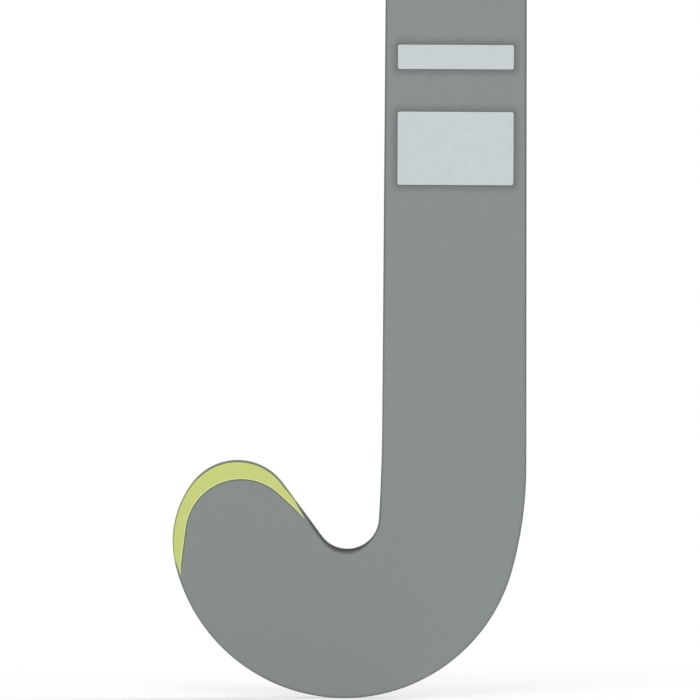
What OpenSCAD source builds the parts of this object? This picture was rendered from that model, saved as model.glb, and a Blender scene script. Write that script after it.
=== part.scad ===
// Indoor hockey stick: a hollow composite shaft and hooked head with a flat playing face,
// a foam head core between reinforcing layers, two inner tubes, a wound grip and a butt cap.
// Everything is built with height measured from the lowest point of the head and is then
// moved so that the origin lies on the shaft's axis in the middle of the grip.
// +Z runs up the shaft, the playing face looks towards -Y and the toe points towards -X.

/* [Length and bow] */
// Overall length, from the foot of the head to the end of the butt cap
stick_length = 927; // [880:1:980]
// Height of the head and lower shaft that has a straight, flat face
flat_height = 95; // [92:1:110]
// Length of shaft over which the bow turns
bow_length = 325; // [280:5:380]
// Deepest hollow of the face below a straight line from end to end
bow_depth = 20; // [0:1:25]

/* [Shaft section] */
// Width of the shaft where it meets the bend
bend_width = 47.3; // [45:0.1:50]
// How far each edge draws in for every 100 mm of height
edge_draw = 0.33; // [0.1:0.01:0.6]
// Thickness of the shaft and heel from face to back
shaft_depth = 21; // [19:0.5:24]
// Radius along the edges of the playing face
face_edge_radius = 0.9; // [0.8:0.1:2]
// Depth behind the face at which the back begins to round over
side_depth = 7; // [5:0.5:9]
// Length over which the flat shaft turns into the oval handle
taper_length = 230; // [180:5:250]
// Bare handle below the grip's finishing tape
bare_handle = 12; // [5:1:30]
// Width of the bare oval handle
handle_width = 30; // [27:0.5:33]
// Depth of the bare oval handle
handle_depth = 27; // [25:0.5:30]

/* [Head outline] */
// Radius over which the outer edge leaves the shaft
heel_run_radius = 128.5; // [110:0.5:150]
// Angle turned along that run
heel_run_turn = 15.3; // [12:0.1:18]
// Radius of the heel and the foot of the head
bend_radius = 56.9; // [54:0.1:60]
// Heading at which the foot runs into the toe's front
toe_front_heading = 166.3; // [162:0.1:169]
// Radius of the toe's front
toe_front_radius = 32; // [30:0.5:35]
// Heading at which the front runs into the toe's top
toe_top_heading = 216.8; // [212:0.1:222]
// Radius of the toe's top
toe_top_radius = 18.5; // [17:0.1:20]
// Heading of the straight slope from the toe's top down into the crook
slope_heading = 323.3; // [318:0.1:326]
// Radius of the tight inside corner, the crook
crook_radius = 10.3; // [8:0.1:12]
// Angle of the long gentle run from the crook into the shaft's edge
crook_run_turn = 3; // [2:0.5:4]
// Radius of that run
crook_run_radius = 600; // [500:10:700]
// Thickness of the toe from face to back
toe_depth = 20; // [18:0.5:22]

/* [Shell and filling] */
// Wall of the outer laminate
shell_wall = 2; // [1.6:0.1:2.6]
// Least radius along the edges inside the shell
inner_edge_radius = 0.4; // [0.2:0.1:0.8]
// Wall of each inner tube
tube_wall = 1; // [0.8:0.1:1.4]
// Thickness of the reinforcing layers in the head
ply_thickness = 1.2; // [0.8:0.1:1.6]
// Glue line between bonded pieces
bond_gap = 0.05; // [0.02:0.01:0.1]
// Height of the top of the head's foam core
core_top = 118; // [114:1:130]
// Length of the foam plug in the top of the handle
plug_length = 60; // [40:1:90]

/* [Handle fittings] */
// Height of the butt cap above the laminate's end
cap_height = 9; // [7:0.5:14]
// Straight side of the cap below its dome
cap_side = 3; // [2:0.5:5]
// How far the cap stands out past the grip's surface
cap_lip = 0.6; // [0.2:0.1:1.5]
// Length of the cap's stem inside the handle
stem_length = 22; // [15:1:30]
// Length of the wound grip
grip_length = 310; // [270:5:340]
// Thickness of the grip strip
grip_thickness = 2; // [1.5:0.1:3]
// Climb of the grip strip in one turn
grip_pitch = 25; // [20:0.5:30]
// Open joint between neighbouring turns
grip_joint = 0.6; // [0.5:0.1:1]
// Softened edge of the grip strip
grip_bevel = 0.6; // [0.3:0.1:0.8]
// Clearance under the grip and its tape, and between them
seat_gap = 0.1; // [0.05:0.01:0.2]
// Thickness of the finishing tape
tape_thickness = 0.5; // [0.3:0.1:0.8]
// How far the tape reaches down the bare handle
tape_drop = 14; // [8:1:20]
// How far the tape reaches up over the grip
tape_cover = 8; // [5:1:15]

/* [Markings] */
// Thickness of the coloured films on the face
film_thickness = 0.12; // [0.08:0.01:0.3]
// Bare edge left outside the toe accent
accent_margin = 0.9; // [0.9:0.1:3]
// Radius of the toe accent's inner edge
accent_radius = 18.3; // [17:0.1:20]
// Drop of that edge's centre below the centre of the toe's top
accent_drop = 6.1; // [5:0.1:8]
// Shift of that edge's centre from there towards the shaft
accent_shift = 1.2; // [0:0.1:2]
// Heading of the outline at the accent's lower point
accent_foot_heading = 162; // [155:1:164]
// How far the accent runs down the slope towards the crook
accent_slope_run = 13.5; // [8:0.1:15]
// Height of the foot of the wide band
band_foot = 168; // [160:1:180]
// Height of the wide band
wide_band = 24; // [12:1:30]
// Bare gap between the two bands
band_space = 14; // [6:1:20]
// Height of the narrow band
narrow_band = 8; // [4:1:14]
// Width of both bands across the face
band_width = 38; // [30:0.5:41]

/* [Hidden] */

grey_paint = [0.54, 0.565, 0.557];
lime = [0.79, 0.83, 0.49];
pale_print = [0.8, 0.83, 0.84];
carbon = [0.16, 0.16, 0.17];
aramid = [0.78, 0.66, 0.3];
foam = [0.85, 0.8, 0.68];
grip_black = [0.13, 0.13, 0.14];

// Points round a full section: half of them round the back, then an edge, the flat and an edge
ring_count = 24;
ring_step = 360 / ring_count;
half_count = ring_count / 2;
edge_step = 30;
flat_first = 16;
flat_middle = 18;
flat_last = 20;

// Section points where the head's back layer begins and ends
back_first = 3;
back_last = 9;

// Softness of the back and of the oval handle
back_power = 0.83;
oval_power = 0.94;

// Sections along each stretch of the stick
taper_steps = 8;
shaft_steps = 4;
neck_steps = 2;
run_steps = 4;
crook_steps = 16;
toe_steps = 10;

// The toe's hollow ends here, as a share of the way from the toe's root to its tip
hollow_reach = 0.7;
// The tip lies here on the outline, and the root's section leads the slope by this angle
tip_heading = 235;
root_lead = 6;
// The outermost section stops just short of the tip
tip_reach = 0.985;
// Thinnest end of the grip strip
grip_tail = 2;
// Climb of the finishing tape from the bare handle onto the grip
tape_climb = 2.5;
// Half the thickness of the cap's last section
cap_point = 1.5;
cap_steps = 5;

// Heights along the handle
shell_top = stick_length - cap_height;
grip_top = shell_top - seat_gap;
grip_foot = grip_top - grip_length;
grip_middle = (grip_top + grip_foot) / 2;
taper_end = grip_foot - tape_drop - bare_handle;
taper_start = taper_end - taper_length;
stem_foot = shell_top - stem_length;
plug_foot = stem_foot - plug_length;

// Heights of the bands
wide_top = band_foot + wide_band;
narrow_foot = wide_top + band_space;
narrow_top = narrow_foot + narrow_band;

// Slopes of the face line below and above the bow, which bring both ends onto one plumb line
upper_length = stick_length - flat_height - bow_length;
slope_share = (flat_height + bow_length / 2) / (upper_length + bow_length / 2);
lower_slope = bow_depth / (flat_height + bow_length / (2 * (1 + slope_share)));
upper_slope = lower_slope * slope_share;

// Depth of the playing face behind the plumb line at a height
function face_y(z) =
    z < flat_height ? lower_slope * z
    : z < flat_height + bow_length
        ? lower_slope * z - (lower_slope + upper_slope) * pow(z - flat_height, 2) / (2 * bow_length)
        : upper_slope * (stick_length - z);

function smooth(x) = x <= 0 ? 0 : x >= 1 ? 1 : x * x * (3 - 2 * x);
function handle_share(z) = smooth((z - taper_start) / taper_length);
function mix(a, b, share) = a + (b - a) * share;
function to_degrees(x) = x * 180 / PI;

// Headings run along the outline: 0 is down, 90 towards the toe, 180 up, 270 away from the toe
function turn_step(r, from, to) = r * [cos(to) - cos(from), sin(from) - sin(to)];
function inward(heading) = [-cos(heading), sin(heading)];

// Corner points of the outline, clockwise from the shaft's outer edge
draw = edge_draw / 100;
draw_angle = atan(draw);
crook_end_heading = 180 + draw_angle + crook_run_turn;
heel_rise = -(turn_step(heel_run_radius, -draw_angle, heel_run_turn)
              + turn_step(bend_radius, heel_run_turn, 90))[1];
heel_start = [bend_width / 2, heel_rise];
bend_start = heel_start + turn_step(heel_run_radius, -draw_angle, heel_run_turn);
front_start = bend_start + turn_step(bend_radius, heel_run_turn, toe_front_heading);
top_start = front_start + turn_step(toe_front_radius, toe_front_heading, toe_top_heading);
slope_start = top_start + turn_step(toe_top_radius, toe_top_heading, slope_heading);
toe_centre = top_start + toe_top_radius * inward(toe_top_heading);

// The slope is as long as it takes to bring the crook's run onto the shaft's inner edge
no_slope = slope_start - turn_step(crook_radius, slope_heading, crook_end_heading)
           - turn_step(crook_run_radius, crook_end_heading, 180 + draw_angle);
slope_length = (no_slope[0] + bend_width / 2 - (no_slope[1] - heel_rise) * draw)
               / (sin(slope_heading) - cos(slope_heading) * draw);
slope_way = [-sin(slope_heading), -cos(slope_heading)];
slope_end = slope_start + slope_length * slope_way;
crook_end = slope_end - turn_step(crook_radius, slope_heading, crook_end_heading);
run_end = crook_end - turn_step(crook_run_radius, crook_end_heading, 180 + draw_angle);

// Half the width of the drawn-in shaft, before it turns into the handle
function half_shaft(z) = bend_width / 2 - (z - heel_rise) * draw;

// Outer edge of the head at a heading
function outer_edge(h) =
    h < heel_run_turn ? heel_start + turn_step(heel_run_radius, -draw_angle, h)
    : h < toe_front_heading ? bend_start + turn_step(bend_radius, heel_run_turn, h)
    : h < toe_top_heading ? front_start + turn_step(toe_front_radius, toe_front_heading, h)
    : top_start + turn_step(toe_top_radius, toe_top_heading, h);

// Heading of the outer edge at a height below the shaft
function heel_heading(z) =
    z > bend_start[1] ? asin(-sin(draw_angle) - (z - heel_rise) / heel_run_radius)
    : asin(sin(heel_run_turn) - (z - bend_start[1]) / bend_radius);

// The two edges at one height, from the handle down to the crook
function outer_x(z) =
    z > heel_rise ? mix(half_shaft(z), handle_width / 2, handle_share(z)) : outer_edge(heel_heading(z))[0];
function run_heading(z) = 180 - asin(sin(crook_end_heading) + (z - crook_end[1]) / crook_run_radius);
function inner_x(z) =
    z > run_end[1] ? -mix(half_shaft(z), handle_width / 2, handle_share(z))
    : (crook_end - turn_step(crook_run_radius, crook_end_heading, run_heading(z)))[0];

// A station is [inner edge point, outer edge point, share of oval, depth]
function level(z) = [[inner_x(z), z], [outer_x(z), z], handle_share(z),
                     mix(shaft_depth, handle_depth, handle_share(z))];

crook_start_heading = heel_heading(crook_end[1]);
root_heading = slope_heading - 180 + root_lead;
function crook_station(share) = [
    slope_end - turn_step(crook_radius, slope_heading, mix(crook_end_heading, slope_heading, share)),
    outer_edge(mix(crook_start_heading, root_heading, share)),
    0,
    mix(shaft_depth, toe_depth, smooth(share))
];

// The toe's two edges, by the distance from its root
toe_inner_length = slope_length + toe_top_radius * (slope_heading - tip_heading) * PI / 180;
foot_length = bend_radius * (toe_front_heading - root_heading) * PI / 180;
front_length = toe_front_radius * (toe_top_heading - toe_front_heading) * PI / 180;
toe_outer_length = foot_length + front_length + toe_top_radius * (tip_heading - toe_top_heading) * PI / 180;
function toe_heading(s) =
    s < foot_length ? root_heading + to_degrees(s / bend_radius)
    : s < foot_length + front_length ? toe_front_heading + to_degrees((s - foot_length) / toe_front_radius)
    : toe_top_heading + to_degrees((s - foot_length - front_length) / toe_top_radius);
function toe_inner(s) =
    s < slope_length ? slope_end - s * slope_way
    : top_start + turn_step(toe_top_radius, toe_top_heading,
                            slope_heading - to_degrees((s - slope_length) / toe_top_radius));
root_width = norm(slope_end - outer_edge(root_heading));

// Towards the tip the back comes down to the face as it does along the sides
function rounded_depth(width) =
    let (open = sqrt(max(0, 1 - pow(min(1, width / root_width), 2))))
    side_depth + (toe_depth - side_depth) * pow(1 - pow(open, 2 / back_power), back_power / 2);
function toe_station(share) =
    let (a = toe_inner(share * toe_inner_length), b = outer_edge(toe_heading(share * toe_outer_length)))
    [a, b, 0, rounded_depth(norm(b - a))];

// Section points as [across, behind the face], counted round from the outer edge by the back
function soft(x, power) = sign(x) * pow(abs(x), power);
function flat_point(i, half, depth, side, edge) =
    i <= half_count
        ? [half * soft(cos(ring_step * i), back_power),
           side + (depth - side) * soft(sin(ring_step * i), back_power)]
    : i <= flat_first ? [-half + edge_in(i - half_count - 1, edge), edge_back(i - half_count - 1, edge)]
    : i < flat_last ? [(half - edge) * (i - flat_middle) / (flat_last - flat_middle), 0]
    : [half - edge_in(ring_count - 1 - i, edge), edge_back(ring_count - 1 - i, edge)];
function edge_in(k, edge) = edge * (1 - cos(edge_step * k));
function edge_back(k, edge) = edge * (1 - sin(edge_step * k));
function oval_point(i, half, depth) = [half * soft(cos(ring_step * i), oval_power),
                                       depth / 2 * (1 + soft(sin(ring_step * i), oval_power))];
function section_point(st, i, inset) =
    let (half = norm(st[1] - st[0]) / 2 - inset, depth = st[3] - 2 * inset)
    mix(flat_point(i, half, depth, side_depth - inset, max(face_edge_radius - inset, inner_edge_radius)),
        oval_point(i, half, depth), st[2]) + [0, inset];

// A section point's place in space
function placed(st, p) =
    let (edge = mix(st[0], st[1], 0.5 + p[0] / norm(st[1] - st[0])))
    [edge[0], face_y(edge[1]) + p[1], edge[1]];
function ring(st, inset) = [for (i = [0:ring_count - 1]) placed(st, section_point(st, i, inset))];

// Part of a layer that lies between two insets, from one section point to another
function layer(st, from, to, outside, inside, step = 1) = concat(
    [for (i = [from:step:to]) placed(st, section_point(st, i % ring_count, outside))],
    [for (i = [to:-step:from]) placed(st, section_point(st, i % ring_count, inside))]
);

// Half of the hollow: side 1 is the outer, heel side, and side -1 the inner, toe side
function half_ring(st, side, inset, web) = [
    for (j = [0:half_count])
        let (i = (flat_middle + j + (side > 0 ? 0 : half_count)) % ring_count, p = section_point(st, i, inset))
        placed(st, j == 0 || j == half_count ? [side * web, p[1]] : p)
];

// Heights of the sections
function steps(from, to, count) = [for (i = [1:count]) mix(from, to, i / count)];
middle_heights = concat([taper_end], steps(taper_end, taper_start, taper_steps),
                        steps(taper_start, narrow_top, shaft_steps), [narrow_foot, wide_top, band_foot],
                        steps(band_foot, core_top, neck_steps));
inner_heights = [for (i = [0:len(middle_heights) - 2]) middle_heights[i]];
lower_heights = concat([flat_height], steps(flat_height, crook_end[1], run_steps));
crook_stations = [for (i = [1:crook_steps]) crook_station(i / crook_steps)];
function toe_shares(reach) = [for (i = [1:toe_steps]) reach * sin(90 * i / toe_steps)];
function toe_stations(reach) = [for (share = toe_shares(reach)) toe_station(share)];
head_stations = concat([for (z = lower_heights) level(z)], crook_stations);
core_reach = hollow_reach - bond_gap / toe_inner_length;
core_stations = concat([level(core_top)], head_stations, toe_stations(core_reach));

// A solid through rings of points, closed at both ends. The rings run counter-clockwise
// as seen from the end that the solid grows towards. From ring number inner on, the loft
// comes back down inside itself, and its facets are split to match what is fitted there.
module loft(rings, inner = 1000) {
    n = len(rings[0]);
    last = len(rings) - 1;
    polyhedron(
        points = [for (r = rings) each r],
        faces = concat(
            [[for (i = [0:n - 1]) i]],
            [for (k = [0:last - 1], i = [0:n - 1])
                let (a = k * n + i, b = k * n + (i + 1) % n)
                each k < inner ? [[a, b + n, b], [a, a + n, b + n]] : [[a, a + n, b], [a + n, b + n, b]]],
            [[for (i = [0:n - 1]) last * n + n - 1 - i]]
        ),
        convexity = 10
    );
}

// A solid through rings of points that comes back to its first ring
module loft_loop(rings) {
    n = len(rings[0]);
    m = len(rings);
    polyhedron(
        points = [for (r = rings) each r],
        faces = [for (k = [0:m - 1], i = [0:n - 1])
            let (a = k * n + i, b = k * n + (i + 1) % n,
                 c = (k + 1) % m * n + i, d = (k + 1) % m * n + (i + 1) % n)
            each [[a, d, b], [a, c, d]]],
        convexity = 10
    );
}

function backwards(list) = [for (i = [len(list) - 1:-1:0]) list[i]];

// Moves the origin from under the head to the shaft's axis in the middle of the grip
module held() {
    translate([0, -face_y(grip_middle) - handle_depth / 2, -grip_middle]) children();
}

// The painted shell is one wall from the handle's open end round the whole head
module outer_laminate() {
    shaft = [for (z = concat([shell_top], middle_heights)) level(z)];
    outside = concat(shaft, head_stations, toe_stations(tip_reach));
    hollow = concat(shaft, head_stations, toe_stations(hollow_reach));
    color(grey_paint) held() loft(concat(
        [for (st = backwards(outside)) ring(st, 0)],
        [for (st = hollow) ring(st, shell_wall)]
    ), len(outside));
}

// Two tubes side by side fill the hollow shaft, and their flat sides make its central web
module inner_tube(side) {
    stations = [for (z = concat([plug_foot - bond_gap], inner_heights, [core_top + bond_gap])) level(z)];
    skin = shell_wall + bond_gap;
    outside = [for (st = stations) half_ring(st, side, skin, bond_gap)];
    bore = [for (st = stations) half_ring(st, side, skin + tube_wall, bond_gap + tube_wall)];
    color(carbon) held() loft_loop(concat(backwards(outside), bore));
}

module toe_side_tube() {
    inner_tube(-1);
}

module heel_side_tube() {
    inner_tube(1);
}

// Reinforcing layers lie between the shell and the foam core
ply_outside = shell_wall + bond_gap;
ply_inside = ply_outside + ply_thickness;
module head_ply(from, to, step = 1) {
    held() loft([for (st = backwards(core_stations)) layer(st, from, to, ply_outside, ply_inside, step)]);
}

module face_plies() {
    color(carbon) head_ply(flat_first, flat_last, flat_last - flat_first);
}

module heel_patch() {
    color(aramid) head_ply(flat_last, ring_count + back_first);
}

module back_plies() {
    color(carbon) head_ply(back_first, back_last);
}

module crook_patch() {
    color(carbon) head_ply(back_last, flat_first);
}

module head_core() {
    color(foam) held() loft([for (st = backwards(core_stations)) ring(st, ply_inside + bond_gap)]);
}

// The plug closes the tubes, and the butt cap's stem seats on it
module handle_plug() {
    color(foam) held() loft([for (z = [plug_foot, stem_foot]) ring(level(z), shell_wall + bond_gap)]);
}

module butt_cap() {
    stem = shell_wall + bond_gap;
    rim = -(seat_gap + grip_thickness + cap_lip);
    seat = shell_top + bond_gap;
    crown = min(handle_width, handle_depth) / 2 - cap_point;
    dome = [for (i = [0:cap_steps]) let (q = 90 * i / cap_steps)
        [seat + cap_side + (stick_length - seat - cap_side) * sin(q), mix(crown, rim, cos(q))]];
    profile = concat([[stem_foot + bond_gap, stem], [seat, stem], [seat, rim]], dome);
    color(grip_black) held() loft([for (p = profile) cap_ring(p[0], p[1])]);
}
function cap_ring(z, inset) = [for (i = [0:ring_count - 1]) lifted(wrap_point(i, -inset, shell_top), z)];
function lifted(p, z) = [p[0], p[1] + face_y(z) - face_y(shell_top), z];

// A point round the oval handle, standing out from its surface
function wrap_point(i, out, z) =
    placed(level(z), section_point(level(z), i % ring_count, -out));

// The grip is one strip wound up the handle, cut to a taper at both ends
first_step = ceil((grip_tail + grip_joint) / grip_pitch * ring_count);
last_step = floor((1 + (grip_length - grip_tail) / grip_pitch) * ring_count);
function strip_low(i) = max(grip_foot, grip_foot + grip_pitch * (i / ring_count - 1));
function strip_high(i) = min(grip_top, grip_foot + grip_pitch * i / ring_count - grip_joint);
function strip_section(i) =
    let (low = strip_low(i), high = strip_high(i), out = seat_gap + grip_thickness)
    [for (p = [[seat_gap, high], [out - grip_bevel, high], [out, high - grip_bevel],
               [out, low + grip_bevel], [out - grip_bevel, low], [seat_gap, low]])
        wrap_point(i, p[0], p[1])];
module grip_wrap() {
    color(grip_black) held() loft([for (i = [first_step:last_step]) strip_section(i)]);
}

// Least gap between one turn of the strip and the next, measured on the strip's own points
strip_gaps = [
    for (i = [first_step:last_step - ring_count], shift = [-1, 0, 1])
        let (upper = strip_section(i + ring_count + shift <= last_step ? i + ring_count + shift : last_step),
             lower = strip_section(i))
        each [norm(upper[5] - lower[0]), norm(upper[4] - lower[1])]
];

// The finishing tape holds the grip's lower end down onto the bare handle
function tape_section(i) =
    let (on_grip = seat_gap + grip_thickness + seat_gap,
         profile = [[seat_gap, grip_foot - tape_climb + tape_thickness / 2],
                    [on_grip, grip_foot - seat_gap],
                    [on_grip, grip_foot + tape_cover],
                    [on_grip + tape_thickness, grip_foot + tape_cover],
                    [on_grip + tape_thickness, grip_foot - seat_gap],
                    [seat_gap + tape_thickness, grip_foot - tape_climb],
                    [seat_gap + tape_thickness, grip_foot - tape_drop],
                    [seat_gap, grip_foot - tape_drop]])
    [for (p = profile) wrap_point(i, p[0], p[1])];
module grip_lower_tape() {
    color(lime) held() loft_loop([for (i = [0:ring_count - 1]) tape_section(i)]);
}

// Touching point of a line from a point outside a circle
function touch(from, centre, radius, side) =
    let (way = from - centre, turn = side * acos(radius / norm(way)), a = atan2(way[1], way[0]) + turn)
    centre + radius * [cos(a), sin(a)];

// The coloured crescent follows the toe's outline and lies on the flat face
module toe_accent() {
    tilt = atan(lower_slope);
    centre = toe_centre + [accent_shift, -accent_drop];
    steps = 12;
    start = outer_edge(accent_foot_heading) + accent_margin * inward(accent_foot_heading);
    end = slope_start + accent_slope_run * slope_way + accent_margin * inward(slope_heading);
    edge = [for (h = concat(
                [for (i = [0:steps]) mix(accent_foot_heading, toe_top_heading, i / steps)],
                [for (i = [1:steps]) mix(toe_top_heading, slope_heading, i / steps)]))
            outer_edge(h) + accent_margin * inward(h)];
    right = touch(end, centre, accent_radius, 1);
    left = touch(start, centre, accent_radius, -1);
    right_angle = atan2(right[1] - centre[1], right[0] - centre[0]);
    left_angle = atan2(left[1] - centre[1], left[0] - centre[0]);
    sweep = (left_angle - right_angle + 360) % 360;
    inner = [for (i = [0:2 * steps]) let (a = right_angle + sweep * i / (2 * steps))
             centre + accent_radius * [cos(a), sin(a)]];
    color(lime) held() rotate([90 - tilt, 0, 0]) linear_extrude(film_thickness)
        polygon([for (p = concat(edge, [end], inner)) [p[0], p[1] / cos(tilt)]]);
}

// A band lies on the face between two sections of the shell
module shaft_band(foot, top) {
    half = band_width / 2;
    color(pale_print) held() loft([for (z = [foot, top])
        [for (p = [[half, 0], [-half, 0], [-half, -film_thickness], [half, -film_thickness]])
            [p[0], face_y(z) + p[1], z]]]);
}

module shaft_band_wide() {
    shaft_band(band_foot, wide_top);
}

module shaft_band_narrow() {
    shaft_band(narrow_foot, narrow_top);
}

echo(slope_length = slope_length, heel_rise = heel_rise, crook = crook_end, run = run_end,
     least_grip_gap = min(strip_gaps), grip_turns = (last_step - first_step) / ring_count,
     origin_height = grip_middle, origin_y = face_y(grip_middle) + handle_depth / 2);

outer_laminate();
toe_side_tube();
heel_side_tube();
head_core();
face_plies();
back_plies();
heel_patch();
crook_patch();
handle_plug();
butt_cap();
grip_wrap();
grip_lower_tape();
toe_accent();
shaft_band_wide();
shaft_band_narrow();
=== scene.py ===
"""Indoor hockey stick: its visible shell, films, grip, tape and cap, round the CAD frame."""
import math

import bmesh
import bpy
from mathutils import Matrix, Vector
from mathutils.bvhtree import BVHTree
from mathutils.kdtree import KDTree


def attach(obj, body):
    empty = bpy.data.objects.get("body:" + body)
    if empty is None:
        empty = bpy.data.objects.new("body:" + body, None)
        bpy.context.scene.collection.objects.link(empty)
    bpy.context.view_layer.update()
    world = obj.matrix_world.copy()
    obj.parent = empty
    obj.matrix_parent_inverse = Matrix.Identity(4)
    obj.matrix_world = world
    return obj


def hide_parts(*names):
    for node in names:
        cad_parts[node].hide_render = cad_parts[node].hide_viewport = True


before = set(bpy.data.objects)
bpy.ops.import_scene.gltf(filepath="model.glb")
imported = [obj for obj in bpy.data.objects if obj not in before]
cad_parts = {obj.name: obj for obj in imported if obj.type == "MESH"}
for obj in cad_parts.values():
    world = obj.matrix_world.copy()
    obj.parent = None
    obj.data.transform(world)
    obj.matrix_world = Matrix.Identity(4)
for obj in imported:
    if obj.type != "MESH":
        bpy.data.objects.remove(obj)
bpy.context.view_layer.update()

MM = 0.001
BODY = "root"
SHARP_ANGLE = 50

# Lengths and bow, in millimetres, with heights measured from the foot of the head
STICK_LENGTH = 927.0
FLAT_HEIGHT = 95.0
BOW_LENGTH = 325.0
BOW_DEPTH = 20.0

# Shaft and handle sections
BEND_WIDTH = 47.3
EDGE_DRAW = 0.0033
SHAFT_DEPTH = 21.0
SIDE_DEPTH = 7.0
FACE_EDGE = 0.9
CROOK_EDGE = 2.1
LEAST_INNER_EDGE = 0.3
MOST_EDGE_SHARE = 0.9
TAPER_LENGTH = 230.0
BARE_HANDLE = 12.0
HANDLE_WIDTH = 30.0
HANDLE_DEPTH = 27.0
BACK_POWER = 0.83
OVAL_POWER = 0.94

# Outline of the head, as arcs between headings in degrees: 0 is down and 90 towards the toe
HEEL_RUN_RADIUS, HEEL_RUN_TURN = 128.5, 15.3
BEND_RADIUS, TOE_FRONT_HEADING = 56.9, 166.3
TOE_FRONT_RADIUS, TOE_TOP_HEADING = 32.0, 216.8
TOE_TOP_RADIUS, SLOPE_HEADING = 18.5, 323.3
CROOK_RADIUS, CROOK_RUN_TURN = 10.3, 3.0
CROOK_RUN_RADIUS = 600.0
TIP_HEADING = 235.0
ROOT_LEAD = 6.0
TOE_DEPTH = 20.0
SHELL_WALL = 2.0
HOLLOW_REACH = 0.7
TIP_REACH = 0.9992

# Smooth rises, each an amount, where it starts and how far it takes. Round the crook, by shares
# of the way, the edge softens and firms again, and the painted shade of its shaded edge deepens.
CROOK_SOFTNESS = [(1.0, 0.24, 0.4), (-0.6, 0.7, 0.3)]
SHAFT_PAINTED_SHADE, SHADE_RUN_OUT = 0.35, 14.0
CROOK_PAINTED_SHADE_RISE = [(1.0, 0.15, 0.32)]

# Up the slope, by shares of its length, the edge firms up and the painted shade fades
SLOPE_FIRMNESS = [(1.0, 0.0, 0.6)]
SLOPE_FADE = [(1.0, 0.3, 0.6)]

# Up the stick, by heights, the thin line of painted shade on its two corners grows stronger
CORNER_LINE = 0.3
TOE_SIDE_START = 0.45
TOE_SIDE_RISES = [(0.8, 110.0, 40.0)]
HEEL_SIDE_RISES = [(0.45, 10.0, 50.0), (0.7, 92.0, 25.0), (0.65, 130.0, 80.0)]

# Handle fittings
CAP_HEIGHT = 9.0
CAP_SIDE = 3.0
CAP_LIP = 0.6
STEM_LENGTH = 22.0
BOND_GAP = 0.05
GRIP_LENGTH = 310.0
GRIP_THICKNESS = 2.0
GRIP_PITCH = 25.0
SEAT_GAP = 0.1
TAPE_THICKNESS = 0.5
TAPE_DROP = 14.0
TAPE_COVER = 8.0
TAPE_CLIMB = 2.5

# Films on the face, found by rays from this far in front of it
IN_FRONT = 50.0
FILM_STAND = 0.07
FILM_SINK = 0.05
FILM_LINE_WIDTH = 0.36
FILM_RIM_WIDTH = 0.8
FILM_TIP_RIM = [(0.8, 0.86, 0.14)]
# Strength of the painted shade line on the film's outer edge, from the foot up
FILM_LINE_START, FILM_LINE_RISE = 0.35, [(0.55, 0.3, 0.15)]

# The crescent: its margins inside the outline from its foot to its point, some with the heading
# where they take over and the turn that this takes, and its inner arc
ACCENT_FOOT_HEADING = 162.0
ACCENT_FOOT_MARGIN = 0.7
ACCENT_TOP_MARGIN = 0.5
ACCENT_MARGINS = [(0.07, 162.0, 8.0), (0.26, 172.0, 14.0), (ACCENT_TOP_MARGIN, 208.0, 35.0)]
ACCENT_SLOPE_MARGIN = 0.16
ACCENT_POINT_MARGIN = 1.3
ACCENT_SLOPE_RUN = 13.9
ACCENT_RADIUS = 17.96
ACCENT_DROP = 6.1
ACCENT_SHIFT = 1.2

# The bands, each with its foot and top
WIDE_BAND = (168.0, 192.0)
NARROW_BAND = (206.0, 214.0)
BAND_WIDTH = 38.0
BAND_CORNER = 0.6

# Derived heights
SHELL_TOP = STICK_LENGTH - CAP_HEIGHT
GRIP_TOP = SHELL_TOP - SEAT_GAP
GRIP_FOOT = GRIP_TOP - GRIP_LENGTH
GRIP_MIDDLE = (GRIP_TOP + GRIP_FOOT) / 2
TAPER_END = GRIP_FOOT - TAPE_DROP - BARE_HANDLE
TAPER_START = TAPER_END - TAPER_LENGTH
UPPER_LENGTH = STICK_LENGTH - FLAT_HEIGHT - BOW_LENGTH
SLOPE_SHARE = (FLAT_HEIGHT + BOW_LENGTH / 2) / (UPPER_LENGTH + BOW_LENGTH / 2)
LOWER_SLOPE = BOW_DEPTH / (FLAT_HEIGHT + BOW_LENGTH / (2 * (1 + SLOPE_SHARE)))
UPPER_SLOPE = LOWER_SLOPE * SLOPE_SHARE

# Colours in sRGB steps of 255
GREY_PAINT = (138, 144, 142)
PRINT_SHADE = (88, 94, 92)
# Painted shade: darker paint at the crook's edge and along the corners
CROOK_PAINTED_SHADE = (42, 45, 43)
LIME_FILM = (205, 215, 125)
FILM_RIM = (226, 233, 176)
# Dark print line on the film's inner edge, painted shade on its outer edge
FILM_LINE = (104, 112, 86)
PALE_FILM = (203, 211, 214)
GRIP_COLOUR = (46, 47, 49)
CAP_COLOUR = (36, 36, 38)
# Painted shade: near-black colour for the pin holes, in place of their depth
HOLE_PAINTED_SHADE = (14, 14, 15)
CARBON_COLOUR = (40, 41, 43)
ARAMID_COLOUR = (196, 164, 84)
FOAM_COLOUR = (214, 202, 172)


def linear(colour):
    """An sRGB colour in steps of 255 as linear RGBA."""
    steps = [c / 255 for c in colour]
    steps = [c / 12.92 if c <= 0.04045 else ((c + 0.055) / 1.055) ** 2.4 for c in steps]
    return (*steps, 1.0)


def lighter(colour, steps):
    """An sRGB colour that is lighter by some steps, as linear RGBA."""
    return linear([min(255, c + steps) for c in colour])


def darkened(colour, share):
    return linear([c * share for c in colour])


def mix(a, b, share):
    return a + (b - a) * share


def smooth(x):
    x = min(1.0, max(0.0, x))
    return x * x * (3 - 2 * x)


def rise(x, steps):
    """Sum of smooth rises at x, each an amount, where it starts and how far it takes."""
    return sum(amount * smooth((x - start) / run) for amount, start, run in steps)


def shares(count):
    return [i / count for i in range(1, count + 1)]


def soft(x, power):
    return math.copysign(abs(x) ** power, x)


def cosine(angle):
    return math.cos(math.radians(angle))


def sine(angle):
    return math.sin(math.radians(angle))


# The face line and the outline of the head


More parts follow.
